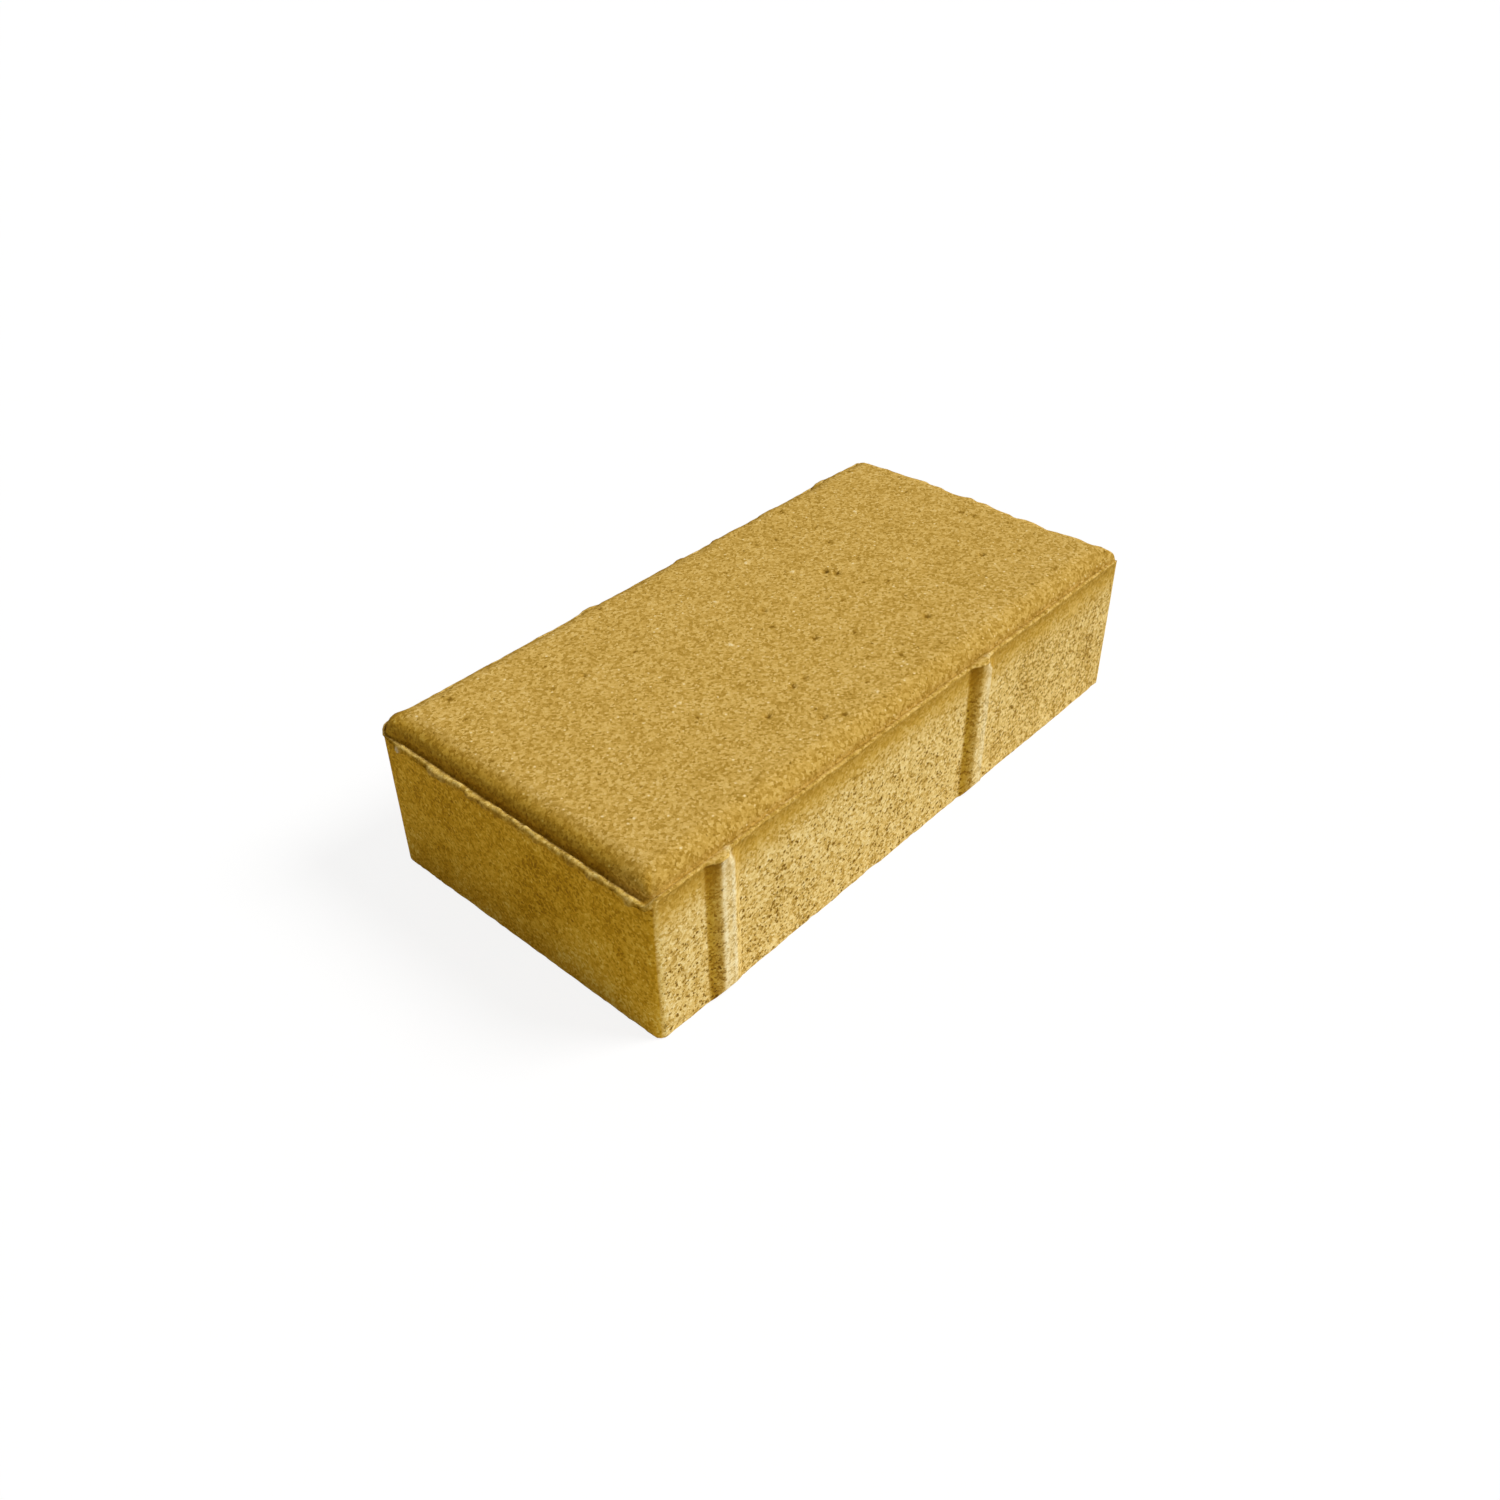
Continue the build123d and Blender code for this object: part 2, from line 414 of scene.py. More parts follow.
# Marks of the near long side: each sinks the wall by its depth times a bell curve of the way from its
# middle, and gives its share of paleness and of darkness.
def wallField(points, near):
    sunk, pale, dark = np.zeros((3, len(points)))
    for x, z, wide, tall, depth, tone in wallMarks:
        bell = near * np.exp(-(((points[:, 0] - x) / wide) ** 2) - ((points[:, 2] - z) / tall) ** 2)
        sunk += depth * bell
        pale += max(tone, 0) * bell
        dark += max(-tone, 0) * bell
    return sunk, pale, dark


# Draws the grid of the top in towards each larger blow hole, by a share that falls off as a bell curve of
# the way from its middle, so that the hole has enough points to show.
def drawIn(points):
    for x, y, radius, _ in blowHoles:
        way = points[:, :2] - (x, y)
        near = np.exp(-(way**2).sum(axis=1) / (wear["drawReach"] * radius) ** 2)
        points[:, :2] -= wear["drawShare"] * near[:, None] * way
    return points


# Small blow holes scattered over the top, with seeded places, radii and depths.
def scatterHoles(half):
    random = np.random.default_rng(stone["seed"] + 6)
    count = wear["pitCount"]
    places = random.uniform(-1, 1, (count, 2)) * (half - wear["pitBorder"])
    sizes = random.uniform(*wear["pitRadius"], count) * random.uniform(0.6, 1, count)
    return np.column_stack([places, sizes, random.uniform(*wear["pitDepth"], count)])


# Surface of the stone: each point moves along its outward direction by the sum of slow waviness, its part's
# grain, the ripple of the round and the lumps of the lip, less the pores of the long sides, the blow holes
# of the top and the marks of the near side.
def roughen(points, normals, marks, half, height):
    lip, under, top = marks["lip"], marks["under"], marks["top"]
    sides, ends = marks["sideWall"], marks["endWall"]

    # lattice noise at the points, by its own draw
    def noise(cell, draw):
        return latticeNoise(points, cell, stone["seed"] + draw)

    wavy = noise(wear["wavinessCell"], 7) - 0.5
    grain = noise(wear["grainCells"][0], 8) + noise(wear["grainCells"][1], 9) - 1
    amount = wear["topGrain"] * (top + lip) + wear["sideGrain"] * (sides + 0.8 * under)
    amount = amount + wear["endGrain"] * ends
    band = height - stone["crownRise"] - points[:, 2]
    opened = sides * smoothStep(0.4, 1, band / wear["bandDepth"]) * (1 - 0.7 * marks["rib"])
    pore = smoothStep(*wear["poreLimits"], noise(wear["poreCell"], 10))
    sunk, pit = pitField(points, blowHoles + list(scatterHoles(half)))
    wallSunk, pale, dark = wallField(points, marks["wall"] * (marks["outY"] < -0.9))
    farSide = np.clip(np.maximum(marks["outX"], marks["outY"]), 0, 1)
    ripple = noise(wear["rippleCells"][0], 12) - 0.5
    ripple += 0.8 * (noise(wear["rippleCells"][1], 13) - 0.5)
    lumps = noise(wear["lumpCell"], 11) - 0.5
    move = wear["waviness"] * wavy * (1 - lip) * (1 - under) + amount * grain
    move += (wear["ripple"] + wear["farRipple"] * farSide) * marks["round"] * ripple
    move += lip * (wear["sideLumps"] + wear["endLumps"] * marks["outX"] ** 2) * lumps
    move -= wear["poreDepth"] * pore * (opened + 0.5 * under) + sunk * top + wallSunk
    lifted = points + move[:, None] * normals
    lifted[:, 2] = np.maximum(lifted[:, 2], 0)
    return lifted, pit * top + dark, np.clip(marks["chip"] + pale, 0, 1)


# Where the finish changes: limits of the outward direction, millimetres from a rib's crest, and shares.
finish = dict(
    endTurn=(0.5, 0.7), shadedSideTowards=(-0.72, 0.70), shadedSideTurn=(-0.41, -0.13),  # ends, and the shaded sides, which take painted shade
    cornerTurn=(0.75, 0.95), cornerStart=(0.01, 0.2), cornerWearAndSheen=0.7, shadedSideCorner=0.7,  # upright corners, worn and partly painted highlight
    lineInsets=(0.6, 0.2), lineWidth=0.75, lipLine=0.6,  # bright lines of a crest, and their end on the lip
    firstCrest=(0.4, 0.6, 0.7), secondCrest=(0.1, 0.6), shadedSideCrest=0.75,  # rubbed crests of a side's ribs, partly painted highlight
    rootShadeFade=0.35, shadedSideRootShade=0.6,  # painted shade at the roots beside them, less on the shaded sides
    frontFade=11.0,  # over which the painted shade of the valley sets in behind the front corners
)


# Numbers for the finish on every ring, from smooth steps of the outward direction and of the way from a
# rib: shares of the ends, long sides and shaded sides (these take painted shade), crests with two bright
# lines on the first rib of a side and one on the second (wear, partly painted highlight), painted shade at
# the roots beside them, rubbed corners (partly painted highlight), and painted shade on a round that
# darkens down to the valley behind the lip.
def finishMarks(stations, plan, ringMarks, out):
    f = finish
    rib, away = stations[:, 7], stations[:, 8]
    marks = dict(zip(ringMarkNames, ringMarks.transpose(1, 0, 2)))
    wall, rounded = marks["wall"], marks["round"]
    endShare = smoothStep(*f["endTurn"], np.abs(out[:, 0]))
    # the sides turned away from the key, which take painted shade
    shadedSide = smoothStep(*f["shadedSideTurn"], out @ np.array(f["shadedSideTowards"]))
    corner = smoothStep(*f["cornerTurn"], np.abs(out[:, 1]))
    corner = corner * smoothStep(*f["cornerStart"], np.abs(out[:, 0]))
    root, crest = stone["nibRoot"] / 2, stone["nibCrest"] / 2
    crestShare = smoothStep(-crest - 0.3, -crest + 0.2, away)
    crestShare = crestShare * (1 - smoothStep(crest - 0.1, crest + 0.3, away))
    linePlaces = (f["lineInsets"][0] - crest, crest - f["lineInsets"][1])
    lines = [np.exp(-(((away - place) / f["lineWidth"]) ** 2)) for place in linePlaces]
    evenPart, lowLine, highLine = f["firstCrest"]
    first = np.clip(evenPart * crestShare + lowLine * lines[0] + highLine * lines[1], 0, 1)
    evenPart, slope = f["secondCrest"]
    second = crestShare * (evenPart + slope * smoothStep(-0.9 * crest, 0.6 * crest, away))
    # crest lines: pale wear, partly painted highlight, less on the shaded sides
    stripe = np.where(plan[:, 0] * out[:, 1] > 0, first, second)
    stripe = (wall * stripe + f["lipLine"] * marks["lip"] * lines[1]) * (1 - f["shadedSideCrest"] * shadedSide)
    # painted shade at the root on one side of each rib
    flank = smoothStep(-root - 0.3, -root + 0.2, away) * (1 - smoothStep(-crest - 0.7, -crest, away))
    flank = flank * (1 - f["rootShadeFade"] * smoothStep(1 - root, -crest, away)) * (1 - f["shadedSideRootShade"] * shadedSide)
    # rubbed upright corners, partly painted highlight, less on the shaded sides
    rubbed = f["cornerWearAndSheen"] * wall * corner * (1 - f["shadedSideCorner"] * shadedSide)
    fading = smoothStep(0.0, f["frontFade"], plan[:, 1] - plan[:, 1].min())
    # painted shade: on the round of the shaded sides, and on the lower round down into the valley
    lee = shadedSide * (0.75 + 0.25 * fading) * smoothStep(0.2, 0.8, rounded)
    hollow = 0.3 * (1 - endShare) * smoothStep(0.2, 0.75, rounded)
    hollow = hollow + (0.1 + 0.7 * endShare * shadedSide * fading) * smoothStep(0.8, 1, rounded)
    marks.update(
        endWall=wall * endShare, sideWall=wall * (1 - endShare), dampWall=wall * shadedSide,
        worn=np.maximum(marks["worn"], rubbed), stripe=stripe, flank=wall * flank, hollow=hollow, lee=lee,
        rib=rib / stone["nibDepth"], outX=out[:, 0], outY=out[:, 1],
    )
    return marks


# The whole stone: the rings joined to one another, with a cap on the underside and one on top, all sharing
# their border vertices, then roughened. The numbers for the finish go with it as point attributes.
def buildStone():
    low, high = (np.array(corner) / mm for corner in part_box(stone["node"]))
    height = high[2] - low[2]
    half = np.array([high[0] - stone["lipOut"], high[1] - stone["nibDepth"] - stone["lipOut"]])
    zone = stone["ledge"] + stone["roundRun"] + stone["crownCorner"]
    stations, counts = planStations(half, zone)
    rings, ringMarks, out = stoneRings(stations, zone, height)
    around, ringCount = len(stations), len(rings)
    inside = [capGrid(rings[k], counts)[1:-1, 1:-1].reshape(-1, 3) for k in (0, -1)]
    inside[1] = drawIn(inside[1])
    ringPoints = rings.reshape(-1, 3)
    points = np.concatenate([ringPoints] + inside)
    ringIndex = np.arange(len(ringPoints)).reshape(ringCount, around)
    quads = np.concatenate([
        gridQuads(np.column_stack([ringIndex, ringIndex[:, :1]])),
        gridQuads(capIndex(0, len(ringPoints), counts))[:, ::-1],
        gridQuads(capIndex(around * (ringCount - 1), len(ringPoints) + len(inside[0]), counts)),
    ])

    # a number for the rings and then for the two caps, which are all underside and all top
    def spread(name, values):
        caps = [np.full(len(part), float(name == own)) for part, own in zip(inside, ("under", "top"))]
        return np.concatenate([np.broadcast_to(values, (ringCount, around)).ravel()] + caps)

    ringNumbers = finishMarks(stations, rings[0], ringMarks, out)
    marks = {name: spread(name, values) for name, values in ringNumbers.items()}
    normals = vertexNormals(points, quads)
    points, marks["pit"], marks["chip"] = roughen(points, normals, marks, half, height)

    print("stone:", len(points), "vertices,", 2 * len(quads), "triangles")
    mesh = makeMesh("pavingStone", points * mm, quads)
    mesh.polygons.foreach_set("use_smooth", np.ones(len(quads), bool))
    names = "wall endWall sideWall dampWall lip under chip rib stripe flank worn pit hollow lee"
    for name in names.split():
        attribute = mesh.attributes.new(name, "FLOAT", "POINT")
        attribute.data.foreach_set("value", marks[name].astype(np.float32))
    piece = bpy.data.objects.new("pavingStone", mesh)
    bpy.context.scene.collection.objects.link(piece)
    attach(piece, stone["body"])
    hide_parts(stone["node"])
    return piece


# Adds a node: the settings are its own, the values go to its sockets, each a constant or another output.
def addNode(tree, kind, values=None, **settings):
    made = tree.nodes.new(kind)
    for name, value in settings.items():
        setattr(made, name, value)
    for socket, value in (values or {}).items():
        if isinstance(value, bpy.types.NodeSocket):
            tree.links.new(value, made.inputs[socket])
        else:
            made.inputs[socket].default_value = value
    return made


# One step of arithmetic on two numbers.
def calc(tree, operation, first, second=0.0):
    return addNode(tree, "ShaderNodeMath", {0: first, 1: second}, operation=operation).outputs[0]


# Straight map of a number from one range to another, held at both ends.
def remap(tree, value, low, high, toLow=0.0, toHigh=1.0):
    values = {"Value": value, "From Min": low, "From Max": high, "To Min": toLow, "To Max": toHigh}
    return addNode(tree, "ShaderNodeMapRange", values).outputs[0]


# Mix of two colours by a share.
def blend(tree, share, first, second, way="MIX"):
    values = {0: share, 6: first, 7: second}
    return addNode(tree, "ShaderNodeMix", values, data_type="RGBA", blend_type=way).outputs[2]


# Colour by tone, straight between a few stops.
def toneColour(tree, tone, stops):
    node = addNode(tree, "ShaderNodeValToRGB", {0: tone})
    ramp = node.color_ramp
    while len(ramp.elements) < len(stops):
        ramp.elements.new(1.0)
    for element, (place, colour) in zip(ramp.elements, stops):
        element.position, element.color = place, (*colour, 1)
    return node.outputs[0]


# The finish: colours in linear light, sizes in millimetres.
concrete = dict(
    # colours by tone: top, lit walls, shaded sides, band under the lip, chips, crests and worn edges
    topStops=[(0.0, (0.26, 0.135, 0.012)), (0.3, (0.47, 0.275, 0.040)), (0.5, (0.620, 0.388, 0.084)),
              (0.72, (0.76, 0.510, 0.145)), (1.0, (0.92, 0.730, 0.370))],
    # walls facing the key are paler than the top: partly their own finish, partly painted light
    sideStops=[(0.0, (0.24, 0.125, 0.012)), (0.3, (0.58, 0.363, 0.073)), (0.5, (0.77, 0.550, 0.180)),
               (0.72, (0.87, 0.660, 0.260)), (1.0, (0.96, 0.800, 0.420))],
    # the shaded sides: a darker, more saturated copy of the wall colours, as painted shade
    shadedStops=[(0.0, (0.26, 0.115, 0.001)), (0.3, (0.49, 0.250, 0.005)), (0.5, (0.64, 0.346, 0.016)),
               (0.72, (0.77, 0.460, 0.042)), (1.0, (0.90, 0.660, 0.140))],
    bandStops=[(0.0, (0.36, 0.200, 0.014)), (0.5, (0.58, 0.345, 0.048)), (1.0, (0.78, 0.550, 0.150))],
    chipStops=[(0.0, (0.84, 0.570, 0.140)), (0.55, (0.86, 0.600, 0.180)), (1.0, (0.96, 0.800, 0.520))],
    stripeStops=[(0.0, (0.58, 0.430, 0.160)), (0.5, (0.95, 0.800, 0.450)), (1.0, (1.00, 0.920, 0.620))],
    wornStops=[(0.0, (0.50, 0.310, 0.045)), (0.5, (0.86, 0.590, 0.140)), (1.0, (1.00, 0.800, 0.300))],
    # painted shade tints: under the lip, at a rib's root, in the valley and the bead's gaps, on the shaded
    # round
    shadeTint=(0.66, 0.60, 0.42), rootShadeTint=(0.68, 0.55, 0.15),
    recessShadeTint=(0.62, 0.55, 0.20), shadedRoundTint=(0.94, 0.84, 0.34),
    # sizes of the fields
    mottleSize=24.0, blotchSize=3.4, grainSize=0.7, dustSize=0.4, speckSize=2.1, poreSize=1.6, pinSize=0.95,
    streakScale=(0.35, 0.35, 0.035),  # streaks, drawn out upwards
    speckShift=(3.1, 7.7, 1.9), poreShift=(11.3, 2.9, 5.1), pinShift=(5.3, 8.1, 2.2),  # keep cells apart
    swaySize=0.9, sway=1.3, gapSize=1.3,  # unevenness of the pores' outlines, and painted shade in gaps of the bead
    # shares of the fields in the tone of each part and in the relief
    topMix=dict(mottle=0.16, blotch=0.12, grain=0.50, dust=0.58),
    sideMix=dict(mottle=0.28, blotch=0.20, grain=0.62, dust=0.98, streaks=0.32),
    shadedMix=dict(mottle=0.85, blotch=0.50, grain=0.48, dust=0.60, streaks=0.16),
    reliefMix=dict(blotch=0.5, grainHeight=0.45, dust=0.4), poreRelief=1.8,
    # specks and pores: reach from the middle of a cell, limits of its number, and change of the tone
    speckReach=(0.20, 0.08), speckLimits=(0.66, 0.74), speckLift=0.55,
    poreSizes=(0.1, 1.0), poreReach=(-0.04, 0.32), poreEdge=0.06, poreDark=0.36, pitDark=0.5,
    pinSizes=(0.0, 1.0), pinReach=(0.12, 0.38), pinEdge=0.08, pinLimits=(0.56, 0.61), pinShare=0.75,
    topPoreLimits=(0.88, 0.92), topPoreShare=0.8, ribPores=0.35, endPores=0.7, underPores=0.8,
    sideContrast=1.4, softContrast=0.5,  # of specks and pores, on the long sides, and on the smooth band and in painted shade
    # from one height or place along the stone to another, and what the number goes from and to
    openRange=(40.0, 33.0, 0.12, 1.0),  # pores of the long sides, down from the smooth band
    panelRange=(-72.0, -92.0, 0.0, 8.0),  # the band reaches further down towards the front corner
    calmRange=(30.0, 55.0, 1.0, 0.6), dullRange=(20.0, 60.0, 0.0, -0.065),  # calmer and darker far part
    footRange=(14.0, 3.0, 0.0, 0.12),  # paler foot of the shaded sides: painted light
    bandRange=(33.0, 42.0), bandWaver=9.0,  # band under the lip
    sideShade=(40.5, 44.0, 0.0, 0.5), shadedSideShade=(39.5, 43.0, 0.0, 0.6),  # shade close under the lip
    raggedRange=(0.5, 0.85, 0.4, 1.0), gapRange=(0.5, 0.38, 0.0, 0.6),  # uneven cover, and painted shade in gaps of the bead
    underShare=0.8, stripeShare=1.0, wornShare=0.85, chipShare=0.9,
    bump=0.16, bumpStrength=0.75, sideBump=0.25, endBump=0.4,
    dustLimits=(0.3, 0.7), roughness=(0.8, 0.96), specular=0.05,
)


# Concrete: a tone that adds up slow mottling, blotches, grains, dust, bright specks and dark pores picks a
# colour from the ramp of the top, the lit walls, the shaded sides (a darker copy, as painted shade) or the
# band under the lip, by the mesh's own attributes. Tints of painted shade, crests and worn edges (partly
# painted highlight) and chips are laid over it, and the same fields give the bump.
def concreteMaterial():
    c = concrete
    material = bpy.data.materials.new("ochreConcrete")
    material.use_nodes = True
    tree = material.node_tree
    shader = tree.nodes["Principled BSDF"]
    objectPlace = addNode(tree, "ShaderNodeTexCoord").outputs["Object"]
    place = {0: objectPlace, "Scale": 1 / mm}
    place = addNode(tree, "ShaderNodeVectorMath", place, operation="SCALE").outputs[0]

    # a number that the mesh carries
    def mark(name):
        return addNode(tree, "ShaderNodeAttribute", attribute_name=name).outputs["Fac"]

    # noise of a size
    def noise(size, detail=2.0, rough=0.55, at=place):
        values = {"Vector": at, "Scale": 1 / size, "Detail": detail, "Roughness": rough}
        return addNode(tree, "ShaderNodeTexNoise", values).outputs["Fac"]

    # the place, shifted or stretched
    def moved(by, way="ADD"):
        return addNode(tree, "ShaderNodeVectorMath", {0: place, 1: by}, operation=way).outputs[0]

    # cells of a size: the way from the middle, and two random numbers of each
    def cells(size, at):
        node = addNode(tree, "ShaderNodeTexVoronoi", {"Vector": at, "Scale": 1 / size, "Randomness": 1.0})
        chance = addNode(tree, "ShaderNodeSeparateColor", {0: node.outputs["Color"]})
        return node.outputs["Distance"], chance.outputs[0], chance.outputs[1]

    # a half, plus each field's way from a half times its share
    def weighed(mix):
        total = 0.5
        for name, amount in mix.items():
            offset = calc(tree, "SUBTRACT", fields[name], 0.5)
            total = calc(tree, "ADD", total, calc(tree, "MULTIPLY", offset, amount))
        return total

    # a colour darkened towards a tint by a share
    def tinted(share, colour, tint):
        return blend(tree, share, colour, (*tint, 1), "MULTIPLY")

    sides, ends, shadedSide, wall = mark("sideWall"), mark("endWall"), mark("dampWall"), mark("wall")
    lip, under, chip = mark("lip"), mark("under"), mark("chip")
    axes = addNode(tree, "ShaderNodeSeparateXYZ", {0: place}).outputs
    along, height = axes["X"], axes["Z"]

    # fields, shifted so that their cells don't line up
    blotch, dust = noise(c["blotchSize"], 3.0, 0.6), noise(c["dustSize"], 2.0, 0.7)
    streaks = noise(1.0, 2.0, 0.6, moved(c["streakScale"], "MULTIPLY"))
    fields = dict(mottle=noise(c["mottleSize"], 3.0), blotch=blotch, dust=dust, streaks=streaks)
    _, fields["grain"], fields["grainHeight"] = cells(c["grainSize"], place)
    speckFar, speckChance, _ = cells(c["speckSize"], moved(c["speckShift"]))
    sway = addNode(tree, "ShaderNodeTexNoise", {"Vector": place, "Scale": 1 / c["swaySize"], "Detail": 2.0})
    swayed = {0: sway.outputs["Color"], 1: (c["sway"],) * 3, 2: moved(c["poreShift"])}
    swayed = addNode(tree, "ShaderNodeVectorMath", swayed, operation="MULTIPLY_ADD").outputs[0]
    poreFar, poreChance, poreSize = cells(c["poreSize"], swayed)
    pinFar, pinChance, pinSize = cells(c["pinSize"], moved(c["pinShift"]))

    # bright grains: the middles of the cells whose number is high
    speck = remap(tree, speckChance, *c["speckLimits"])
    speck = calc(tree, "MULTIPLY", remap(tree, speckFar, *c["speckReach"]), speck)
    # pores: the middles of the cells, wider or narrower by chance, open on the walls and the underside, and
    # few on the top
    poreReach = remap(tree, poreSize, *c["poreSizes"], *c["poreReach"])
    pore = remap(tree, calc(tree, "SUBTRACT", poreReach, poreFar), 0.0, c["poreEdge"])
    pinReach = remap(tree, pinSize, *c["pinSizes"], *c["pinReach"])
    pin = remap(tree, calc(tree, "SUBTRACT", pinReach, pinFar), 0.0, c["pinEdge"])
    pin = calc(tree, "MULTIPLY", pin, remap(tree, pinChance, *c["pinLimits"], 0.0, c["pinShare"]))
    pore = calc(tree, "MAXIMUM", pore, calc(tree, "MULTIPLY", pin, sides))
    closed = calc(tree, "ADD", height, remap(tree, along, *c["panelRange"]))
    opened = calc(tree, "MULTIPLY", sides, remap(tree, closed, *c["openRange"]))
    opened = calc(tree, "MULTIPLY", opened, remap(tree, mark("rib"), 0.0, 1.0, 1.0, c["ribPores"]))
    opened = calc(tree, "MULTIPLY", opened, remap(tree, along, *c["calmRange"]))
    opened = calc(tree, "ADD", opened, calc(tree, "MULTIPLY", ends, c["endPores"]))
    opened = calc(tree, "MAXIMUM", opened, calc(tree, "MULTIPLY", under, c["underPores"]))
    topPore = calc(tree, "MULTIPLY", remap(tree, poreChance, *c["topPoreLimits"]), c["topPoreShare"])
    pore = calc(tree, "MULTIPLY", pore, calc(tree, "MAXIMUM", opened, topPore))

    # tone and colour of each part
    topTone, sideTone, shadedTone = weighed(c["topMix"]), weighed(c["sideMix"]), weighed(c["shadedMix"])
    sideTone = calc(tree, "ADD", sideTone, remap(tree, along, *c["dullRange"]))
    # painted light: the shaded sides are paler towards their foot
    shadedTone = calc(tree, "ADD", shadedTone, remap(tree, height, *c["footRange"]))
    dark = calc(tree, "MULTIPLY", mark("pit"), c["pitDark"])
    dark = calc(tree, "ADD", calc(tree, "MULTIPLY", pore, c["poreDark"]), dark)
    lift = calc(tree, "SUBTRACT", calc(tree, "MULTIPLY", speck, c["speckLift"]), dark)
    sideLift = calc(tree, "MULTIPLY", lift, c["sideContrast"])
    softLift = calc(tree, "MULTIPLY", lift, c["softContrast"])
    topColour = toneColour(tree, calc(tree, "ADD", topTone, lift), c["topStops"])
    # painted shade on the shaded round and in the valley behind the lip
    topColour = tinted(mark("lee"), topColour, c["shadedRoundTint"])
    topColour = tinted(mark("hollow"), topColour, c["recessShadeTint"])
    sideColour = toneColour(tree, calc(tree, "ADD", sideTone, sideLift), c["sideStops"])
    shadedColour = toneColour(tree, calc(tree, "ADD", shadedTone, softLift), c["shadedStops"])
    bandColour = toneColour(tree, calc(tree, "ADD", topTone, softLift), c["bandStops"])

    # parts laid over one another
    waver = calc(tree, "MULTIPLY", calc(tree, "SUBTRACT", blotch, 0.5), c["bandWaver"])
    bandShare = remap(tree, calc(tree, "ADD", height, waver), *c["bandRange"])
    sideColour = blend(tree, bandShare, sideColour, bandColour)
    colour = blend(tree, wall, topColour, sideColour)
    colour = blend(tree, calc(tree, "MULTIPLY", under, c["underShare"]), colour, sideColour)
    # painted shade: the shaded sides take their darker copy of the colour
    colour = blend(tree, shadedSide, colour, shadedColour)
    # painted shade at the roots of the ribs
    colour = tinted(mark("flank"), colour, c["rootShadeTint"])
    sideShade = calc(tree, "MULTIPLY", sides, remap(tree, height, *c["sideShade"]))
    shadedSideShade = calc(tree, "MULTIPLY", shadedSide, remap(tree, height, *c["shadedSideShade"]))
    colour = tinted(calc(tree, "MAXIMUM", sideShade, shadedSideShade), colour, c["shadeTint"])
    ragged = calc(tree, "ADD", blotch, calc(tree, "MULTIPLY", dust, 0.5))
    ragged = remap(tree, ragged, *c["raggedRange"])
    # crests and worn places, partly painted highlight on crests and corners, and chips
    for shown, amount, tone, stops in (
        (mark("stripe"), c["stripeShare"], sideTone, c["stripeStops"]),
        (mark("worn"), c["wornShare"], sideTone, c["wornStops"]),
        (chip, c["chipShare"], chip, c["chipStops"]),
    ):
        share = calc(tree, "MULTIPLY", calc(tree, "MULTIPLY", shown, amount), ragged)
        colour = blend(tree, share, colour, toneColour(tree, tone, stops))
    # painted shade in gaps along the bead
    beadGapShade = calc(tree, "MULTIPLY", lip, remap(tree, noise(c["gapSize"]), *c["gapRange"]))
    colour = tinted(beadGapShade, colour, c["recessShadeTint"])

    # relief
    relief = weighed(c["reliefMix"])
    relief = calc(tree, "SUBTRACT", relief, calc(tree, "MULTIPLY", pore, c["poreRelief"]))
    strength = calc(tree, "ADD", c["bumpStrength"], calc(tree, "MULTIPLY", sides, c["sideBump"]))
    strength = calc(tree, "SUBTRACT", strength, calc(tree, "MULTIPLY", ends, c["endBump"]))
    bump = {"Strength": strength, "Distance": c["bump"] * mm, "Height": relief}
    bump = addNode(tree, "ShaderNodeBump", bump)
    tree.links.new(bump.outputs[0], shader.inputs["Normal"])
    tree.links.new(colour, shader.inputs["Base Color"])
    tree.links.new(remap(tree, dust, *c["dustLimits"], *c["roughness"]), shader.inputs["Roughness"])
    shader.inputs["Specular IOR Level"].default_value = c["specular"]
    print("concrete:", len(tree.nodes), "nodes")
    return material


# Floor and light: one soft key from the right, a dim surround, and the pale floor's own bounce.
studio = dict(
    floorSize=6000, floorColour=0.9, floorSeen=0.15, floorGlow=0.87,
    keyTowards=(0.62, -0.60, 1.0), keyStrength=2.8, keyAngle=25,
    surround=0.23, surroundColour=(1.0, 0.95, 0.86),
)


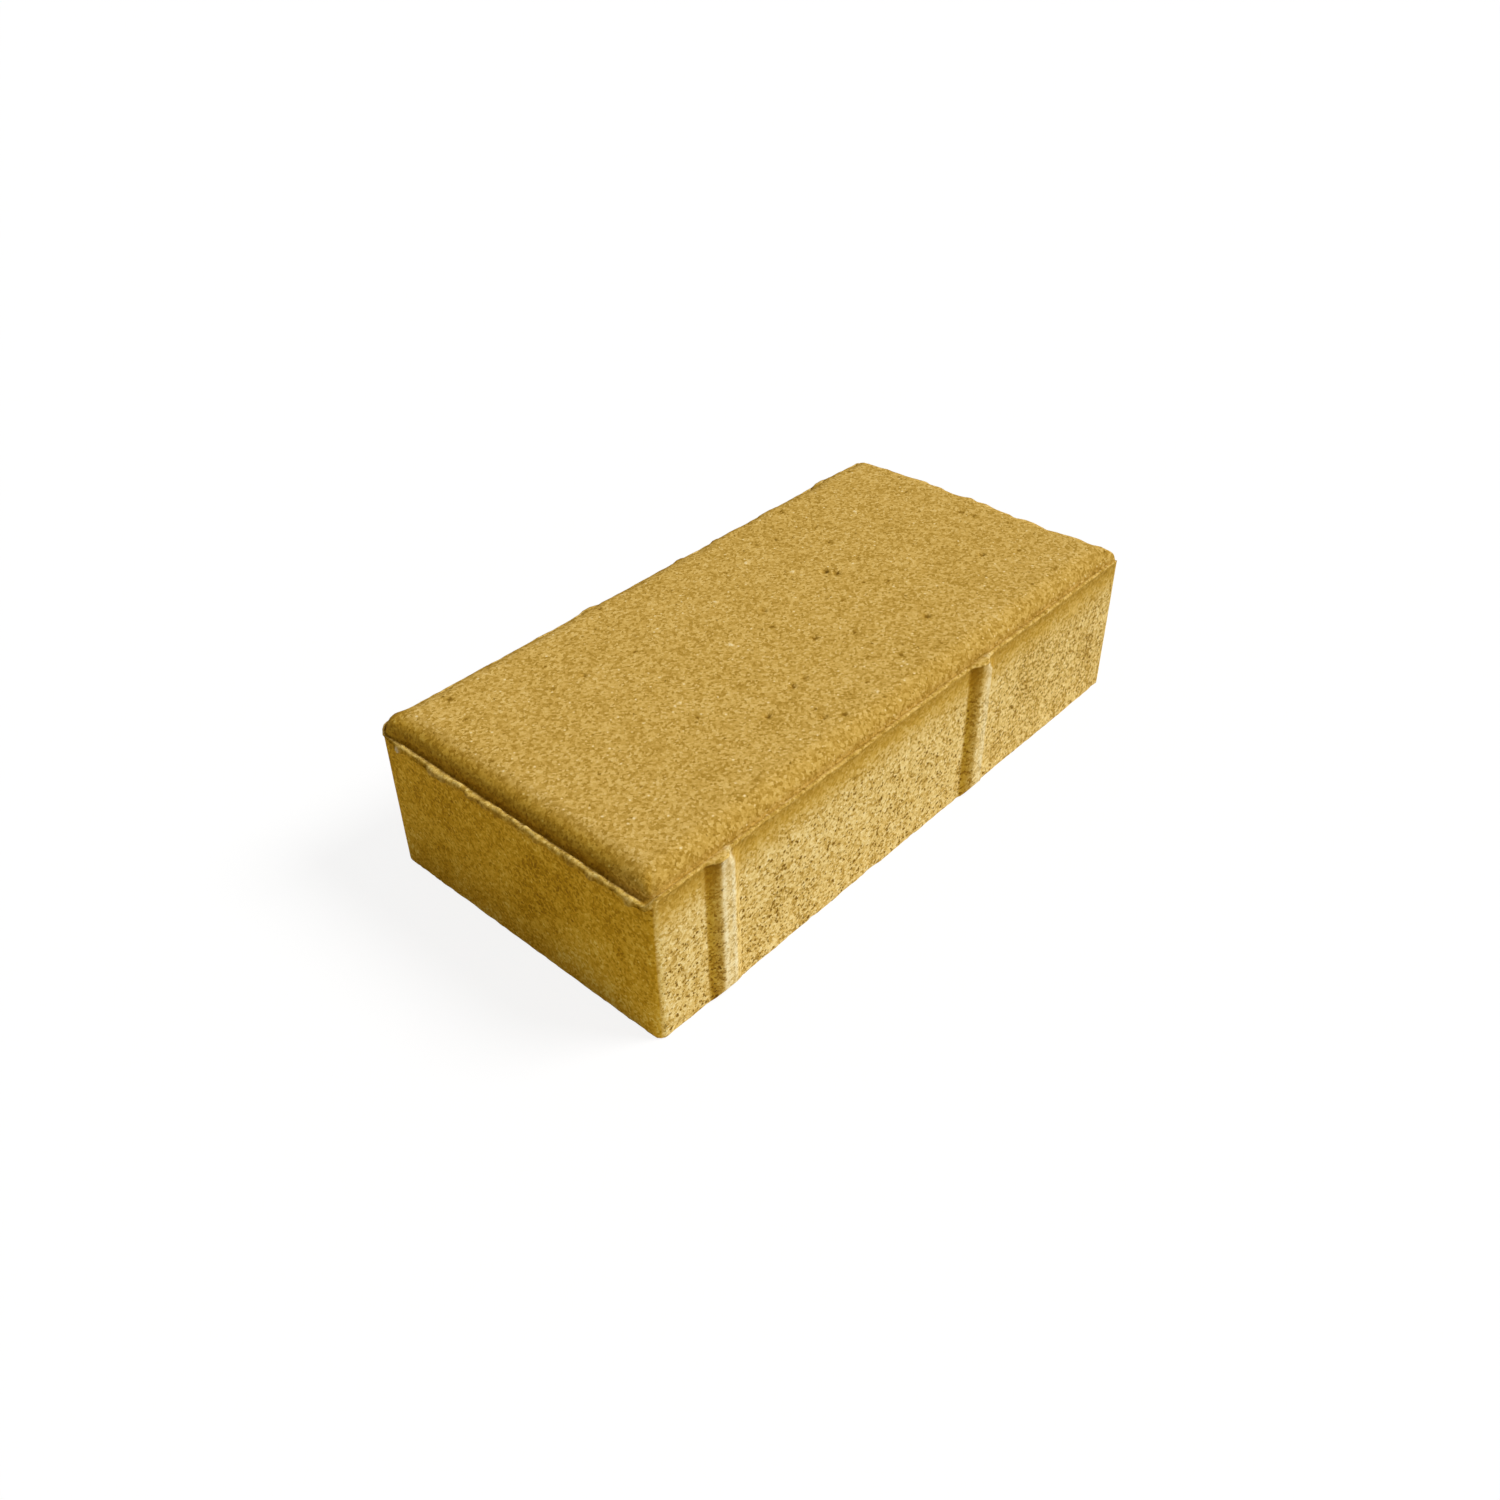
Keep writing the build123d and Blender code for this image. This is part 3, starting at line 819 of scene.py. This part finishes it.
# The floor is a plain pale square. Camera rays see it with a glow that brings its lit part to white, and
# all other rays see a plain diffuse white. The key is a sun of some width, and the surround is an even dome
# that shows as white to the camera.
def buildStudio():
    reach = studio["floorSize"] / 2 * mm
    corners = np.array([[-reach, -reach, 0], [reach, -reach, 0], [reach, reach, 0], [-reach, reach, 0]])
    floor = bpy.data.objects.new("floor", makeMesh("floor", corners, np.array([[0, 1, 2, 3]])))
    bpy.context.scene.collection.objects.link(floor)
    material = bpy.data.materials.new("paleFloor")
    material.use_nodes = True
    tree = material.node_tree
    tree.nodes.clear()
    rays = addNode(tree, "ShaderNodeLightPath").outputs
    shown = calc(tree, "MAXIMUM", rays["Is Camera Ray"], rays["Is Glossy Ray"])
    shown = calc(tree, "MAXIMUM", shown, rays["Is Transmission Ray"])
    plainColour, seenColour = [(studio[name],) * 3 + (1,) for name in ("floorColour", "floorSeen")]
    plain = addNode(tree, "ShaderNodeBsdfDiffuse", {"Color": plainColour})
    seen = addNode(tree, "ShaderNodeBsdfDiffuse", {"Color": seenColour})
    glow = addNode(tree, "ShaderNodeEmission", {"Color": (1, 1, 1, 1), "Strength": studio["floorGlow"]})
    lit = addNode(tree, "ShaderNodeAddShader", {0: seen.outputs[0], 1: glow.outputs[0]})
    mix = addNode(tree, "ShaderNodeMixShader", {0: shown, 1: plain.outputs[0], 2: lit.outputs[0]})
    addNode(tree, "ShaderNodeOutputMaterial", {"Surface": mix.outputs[0]})
    floor.data.materials.append(material)

    key = bpy.data.lights.new("key", "SUN")
    key.energy, key.angle = studio["keyStrength"], math.radians(studio["keyAngle"])
    lamp = bpy.data.objects.new("key", key)
    bpy.context.scene.collection.objects.link(lamp)
    lamp.rotation_euler = Vector(studio["keyTowards"]).to_track_quat("Z", "Y").to_euler()

    world = bpy.data.worlds.new("surround")
    bpy.context.scene.world = world
    world.use_nodes = True
    tree = world.node_tree
    tree.nodes.clear()
    toCamera = addNode(tree, "ShaderNodeLightPath").outputs["Is Camera Ray"]
    tint = (*studio["surroundColour"], 1)
    dim = addNode(tree, "ShaderNodeBackground", {"Color": tint, "Strength": studio["surround"]})
    white = addNode(tree, "ShaderNodeBackground", {"Color": (1, 1, 1, 1), "Strength": 1.0})
    mix = addNode(tree, "ShaderNodeMixShader", {0: toCamera, 1: dim.outputs[0], 2: white.outputs[0]})
    addNode(tree, "ShaderNodeOutputWorld", {"Surface": mix.outputs[0]})
    print("studio: floor, key and surround")


# The photograph's view: eye in millimetres, angles in degrees, focal length in pixels of a square frame,
# width of the sensor in millimetres, and the nearest and furthest that is drawn in metres.
view = dict(
    eye=(-247.5, -216.7, 260.3), azimuth=-47.29, elevation=37.81, roll=-1.0,
    focal=1394.0, frame=1500.0, sensor=36.0, drawn=(0.01, 50.0),
)


# The camera looks from its eye along the azimuth and down by the elevation, then turns about its own axis.
def buildCamera():
    camera = bpy.data.cameras.new("camera")
    camera.sensor_width = view["sensor"]
    camera.lens = view["focal"] / view["frame"] * view["sensor"]
    camera.clip_start, camera.clip_end = view["drawn"]
    holder = bpy.data.objects.new("camera", camera)
    bpy.context.scene.collection.objects.link(holder)
    a, e = math.radians(view["azimuth"]), math.radians(view["elevation"])
    back = Vector((math.sin(a) * math.cos(e), -math.cos(a) * math.cos(e), math.sin(e)))
    look = (-back).to_track_quat("-Z", "Y").to_matrix()
    roll = Matrix.Rotation(math.radians(view["roll"]), 3, "Z")
    holder.rotation_euler = (look @ roll).to_euler()
    holder.location = Vector(view["eye"]) * mm
    bpy.context.scene.camera = holder
    print("camera: lens", round(camera.lens, 1), "mm")


piece = buildStone()
piece.data.materials.append(concreteMaterial())
buildStudio()
buildCamera()
bpy.context.scene.view_settings.view_transform = "Standard"
